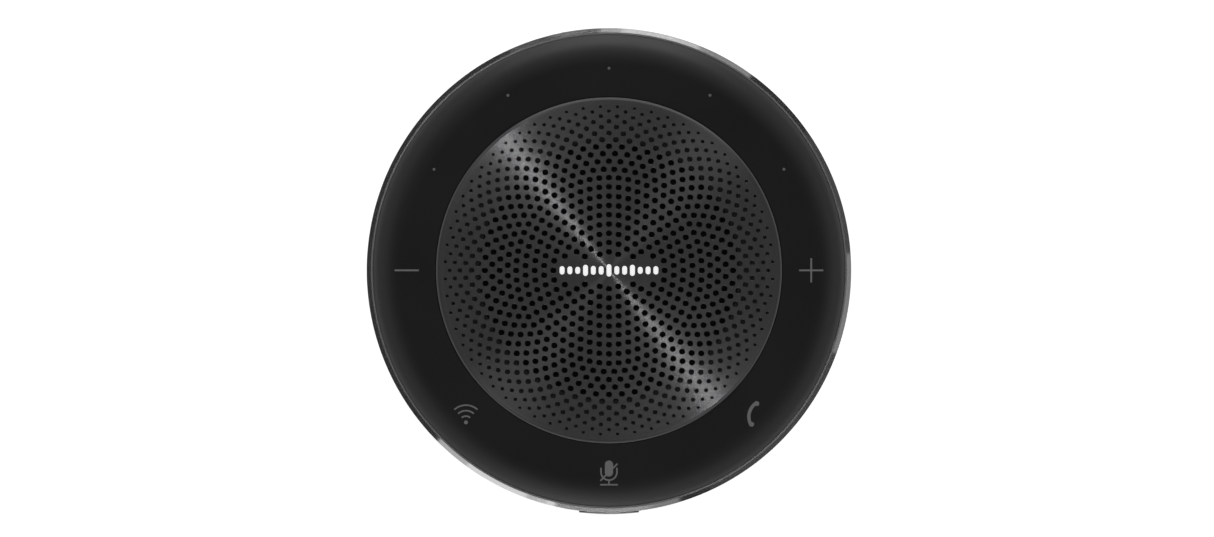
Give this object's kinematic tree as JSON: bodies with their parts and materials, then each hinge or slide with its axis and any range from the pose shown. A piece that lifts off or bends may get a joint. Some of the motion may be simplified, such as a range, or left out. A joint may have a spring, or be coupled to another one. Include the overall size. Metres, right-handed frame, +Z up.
{
  "type": "conference speakerphone",
  "caption": "Round table-top speakerphone with a perforated metal speaker grille, a ring of touch keys, an aluminium side band, a side power key and rear ports.",
  "frame": {"origin": "centre of the base on the table plane", "axes": "+Z up through the grille, +Y towards the ports at the back, the power key faces -Y"},
  "size_m": [0.1242, 0.1248, 0.0341],
  "materials": {
    "cover_plastic": "satin black moulded plastic, fine texture",
    "case_plastic": "matt black moulded plastic",
    "bezel_plastic": "matt black moulded plastic",
    "grille_metal": "dark anodised aluminium, spun brushing",
    "mark_print": "white pad print",
    "legend_print": "grey screen print",
    "light_pipe": "smoked clear plastic, unlit",
    "band_aluminium": "bead-blasted anodised aluminium, polished chamfer",
    "key_aluminium": "fine-brushed anodised aluminium",
    "foot_rubber": "soft black silicone rubber",
    "mesh_cloth": "fine black acoustic mesh",
    "screw_steel": "zinc-plated steel",
    "chamber_plastic": "black moulded plastic",
    "gasket_foam": "black closed-cell foam",
    "basket_steel": "pressed steel",
    "terminal_board": "phenolic board",
    "magnet_metal": "nickel-plated magnet",
    "coil_copper": "enamelled copper winding",
    "cone_paper": "pressed black cone",
    "surround_rubber": "soft black rubber",
    "spider_cloth": "resin-set woven cloth",
    "board_laminate": "green circuit laminate",
    "led_body": "white lens",
    "mic_metal": "gold-plated can",
    "shield_metal": "tinned steel",
    "chip_plastic": "black moulded plastic",
    "battery_foil": "laminated foil pouch",
    "wire_jacket": "red wire insulation",
    "socket_plastic": "ivory connector plastic",
    "ribbon_film": "amber polyimide film"
  },
  "bodies": {
    "housing": {"top_cover": "cover_plastic", "speaker_grille": "grille_metal", "grille_mark": "mark_print", "acoustic_mesh": "mesh_cloth", "key_legends": "legend_print", "light_pipes": "light_pipe", "rim_band": "band_aluminium", "bottom_case": "case_plastic", "foot_ring": "foot_rubber", "case_screws": "screw_steel", "speaker_chamber": "chamber_plastic", "driver_gasket": "gasket_foam", "driver_basket": "basket_steel", "driver_screws": "screw_steel", "driver_terminals": "terminal_board", "yoke": "basket_steel", "magnet": "magnet_metal", "pole_plate": "basket_steel", "cone_surround": "surround_rubber", "spider": "spider_cloth", "touch_board": "board_laminate", "status_leds": "led_body", "microphones": "mic_metal", "mic_boots": "surround_rubber", "main_board": "board_laminate", "audio_shield": "shield_metal", "wireless_module": "board_laminate", "power_chips": "chip_plastic", "usb_receptacle": "shield_metal", "usb_tongue": "chip_plastic", "audio_jack": "chip_plastic", "port_bezel": "bezel_plastic", "board_screws": "screw_steel", "battery_pack": "battery_foil", "battery_foam": "gasket_foam", "battery_lead": "wire_jacket", "battery_plug": "socket_plastic", "speaker_leads": "wire_jacket", "lead_grommet": "surround_rubber", "ribbon_cable": "ribbon_film", "ribbon_sockets": "socket_plastic", "key_bezel": "bezel_plastic", "tact_switch": "chip_plastic"},
    "power_key": {"power_key": "key_aluminium"},
    "switch_plunger": {"switch_plunger": "chip_plastic"},
    "diaphragm": {"voice_coil": "coil_copper", "driver_cone": "cone_paper", "dust_cap": "cone_paper"}
  },
  "joints": [
    {"name": "power_key_press", "type": "slide", "parent": "housing", "child": "power_key", "axis": [0, 1, 0], "range_m": [0, 0.0003], "stiffness_N_per_m": 800, "springref_m": -0.001},
    {"name": "switch_plunger_press", "type": "slide", "parent": "housing", "child": "switch_plunger", "axis": [0, 1, 0], "range_m": [0, 0.0003]},
    {"name": "cone_travel", "type": "slide", "parent": "housing", "child": "diaphragm", "axis": [0, 0, 1], "range_m": [-0.0015, 0.0015], "stiffness_N_per_m": 1500, "deforming": ["cone_surround", "spider"]}
  ],
  "couplings": [
    {"joint": "switch_plunger_press", "follows": "power_key_press", "ratio": 1}
  ]
}
